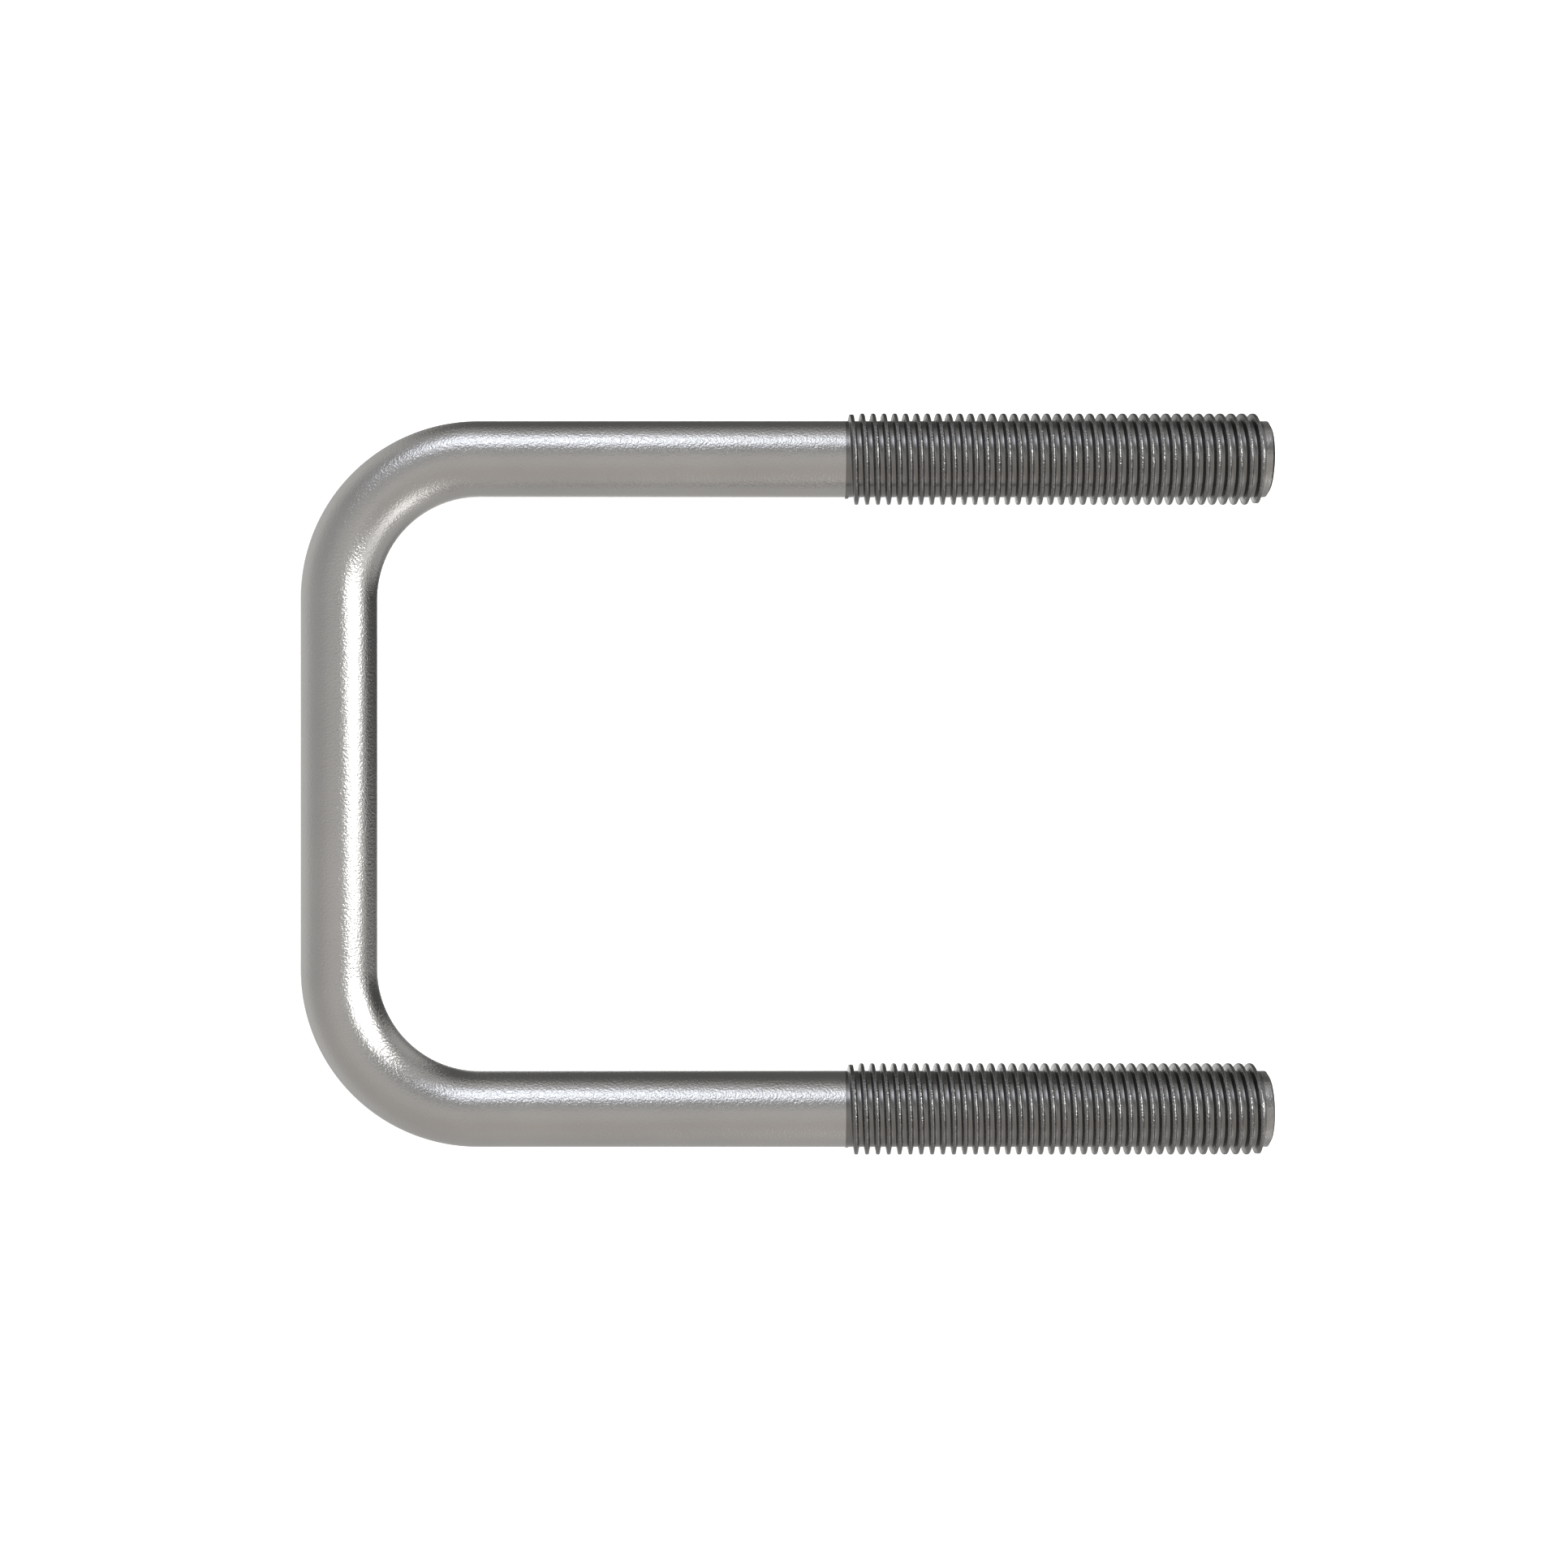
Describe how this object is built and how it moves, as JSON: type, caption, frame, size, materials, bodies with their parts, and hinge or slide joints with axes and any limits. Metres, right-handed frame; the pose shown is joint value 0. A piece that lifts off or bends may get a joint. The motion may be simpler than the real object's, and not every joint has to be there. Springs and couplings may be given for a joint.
{
  "type": "u-bolt",
  "caption": "Square-bend steel U-bolt with a straight crown, tight rounded bends and parallel legs threaded at their free ends.",
  "frame": {"origin": "centre of the bounding box: on the bar's centreline plane, midway between the legs, at half the overall length", "axes": "+X along the legs towards their threaded tips, Y from leg to leg along the crown, +Z out of the plane of the U"},
  "size_m": [0.1016, 0.0778, 0.0096],
  "materials": {
    "bar_steel": "satin, fine grain",
    "thread_steel": "satin, darker in the grooves"
  },
  "bodies": {
    "root": {"crown_bar": "bar_steel", "bend_left": "bar_steel", "bend_right": "bar_steel", "plain_leg_left": "bar_steel", "plain_leg_right": "bar_steel", "threaded_end_left": "thread_steel", "threaded_end_right": "thread_steel", "pilot_tip_left": "bar_steel", "pilot_tip_right": "bar_steel"}
  },
  "joints": []
}
